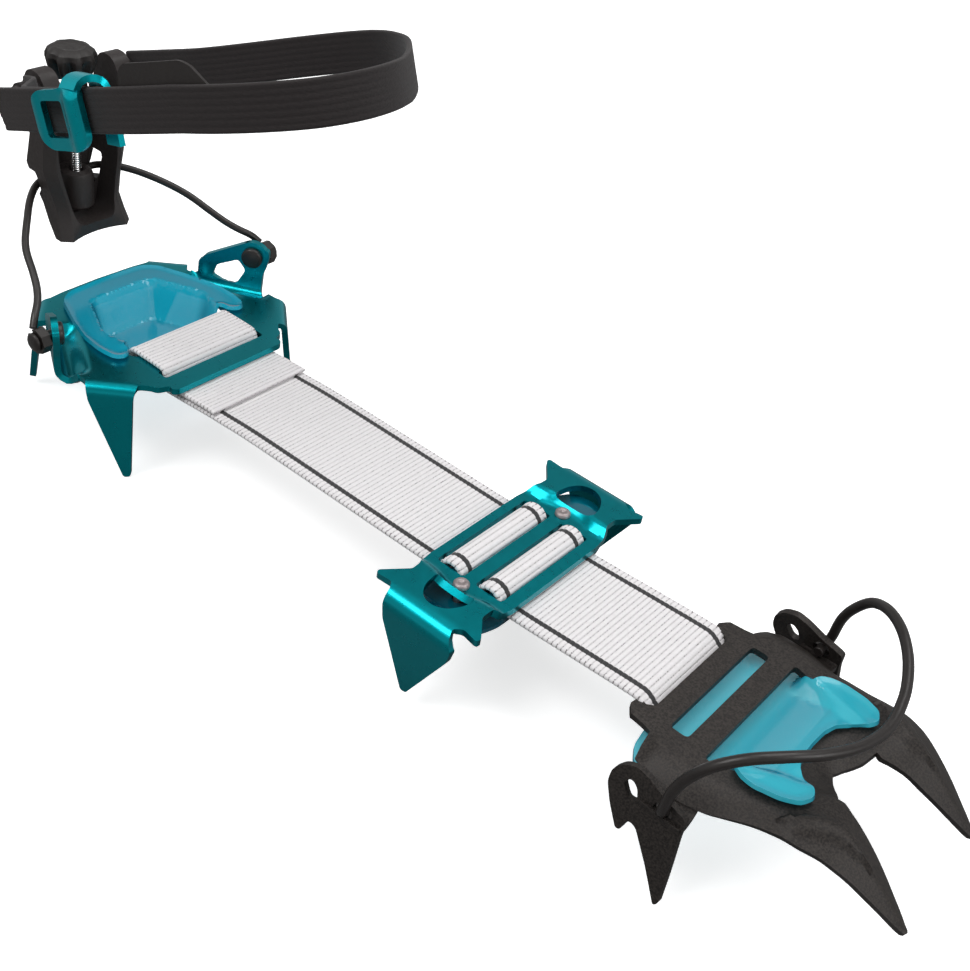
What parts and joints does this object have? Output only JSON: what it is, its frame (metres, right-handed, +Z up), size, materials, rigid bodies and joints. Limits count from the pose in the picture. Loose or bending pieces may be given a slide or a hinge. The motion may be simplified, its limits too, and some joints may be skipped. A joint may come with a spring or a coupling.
{
  "type": "strap-linked hybrid crampon",
  "caption": "Lightweight hybrid crampon: aluminium heel and middle plates, steel toe plate with points, flat linking strap, wire toe bail, heel lever and ankle strap.",
  "frame": {"origin": "centre of the middle plate, on the plane the boot sole rests on", "axes": "+X from heel to toe, +Y to the wearer's left, +Z up towards the sole"},
  "size_m": [0.3304, 0.097, 0.1489],
  "materials": {
    "teal_anodised": "glossy anodised",
    "clear_cyan_tpu": "translucent soft plastic",
    "dark_steel": "speckled dark coating",
    "white_webbing": "ribbed weave with two dark stripes",
    "dark_webbing": "ribbed weave",
    "black_plastic": "fine satin",
    "black_wire": "dark coated",
    "bright_screw": "polished",
    "grey_rivet": "satin"
  },
  "bodies": {
    "heel": {"heel_frame": "teal_anodised", "heel_snow_tray": "clear_cyan_tpu", "heel_pivot_rivet_left": "black_wire", "heel_pivot_rivet_right": "black_wire", "strap_heel_wrap": "white_webbing"},
    "rear_span": {"strap_rear_span": "white_webbing"},
    "mid": {"mid_plate": "teal_anodised", "mid_snow_plate": "clear_cyan_tpu", "mid_rivet_left": "grey_rivet", "mid_rivet_right": "grey_rivet", "strap_mid_weave": "white_webbing"},
    "front_span": {"strap_front_span": "white_webbing"},
    "front": {"front_frame": "dark_steel", "front_snow_plate": "clear_cyan_tpu", "strap_toe_wrap": "white_webbing"},
    "toe_bail": {"toe_bail": "black_wire"},
    "cable": {"heel_cable": "black_wire", "cable_eye_left": "black_wire", "cable_eye_right": "black_wire"},
    "carriage": {"barrel_nut": "black_plastic"},
    "housing": {"lever_housing": "black_plastic"},
    "knob": {"adjuster_knob": "black_plastic", "adjuster_screw": "bright_screw"},
    "ankle": {"ankle_strap": "dark_webbing", "ankle_strap_short": "dark_webbing", "strap_label_tab": "dark_webbing", "hook_buckle": "teal_anodised"}
  },
  "joints": [
    {"name": "heel_strap_bend", "type": "hinge", "parent": "heel", "child": "rear_span", "pos_m": [-0.098, 0, -0.0039], "axis": [0, -1, 0], "range_deg": [-40, 20]},
    {"name": "mid_rear_bend", "type": "hinge", "parent": "rear_span", "child": "mid", "pos_m": [-0.017, 0, -0.003], "axis": [0, -1, 0], "range_deg": [-40, 20]},
    {"name": "mid_front_bend", "type": "hinge", "parent": "mid", "child": "front_span", "pos_m": [0.018, 0, -0.0028], "axis": [0, -1, 0], "range_deg": [-40, 20]},
    {"name": "toe_strap_bend", "type": "hinge", "parent": "front_span", "child": "front", "pos_m": [0.054, 0, -0.0012], "axis": [0, -1, 0], "range_deg": [-40, 20]},
    {"name": "toe_bail_swing", "type": "hinge", "parent": "front", "child": "toe_bail", "pos_m": [0.078, 0, -0.0052], "axis": [0, 1, 0], "range_deg": [-55, 12]},
    {"name": "heel_cable_swing", "type": "hinge", "parent": "heel", "child": "cable", "pos_m": [-0.1472, 0, 0.0099], "axis": [0, 1, 0], "range_deg": [-30, 10]},
    {"name": "lever_tilt", "type": "hinge", "parent": "cable", "child": "carriage", "pos_m": [-0.1926, 0, 0.0328], "axis": [0, 1, 0], "range_deg": [-75, 5]},
    {"name": "lever_height", "type": "slide", "parent": "carriage", "child": "housing", "axis": [0, 0, 1], "range_m": [-0.004, 0.0012]},
    {"name": "height_knob", "type": "hinge", "parent": "housing", "child": "knob", "pos_m": [-0.188, 0, 0.066], "axis": [0, 0, 1], "range_deg": [-1800, 540]},
    {"name": "ankle_strap_swing", "type": "hinge", "parent": "housing", "child": "ankle", "pos_m": [-0.184, 0, 0.066], "axis": [0, -1, 0], "range_deg": [-25, 60]}
  ],
  "couplings": [
    {"joint": "height_knob", "follows": "lever_height", "rad_per_m": 7850}
  ]
}
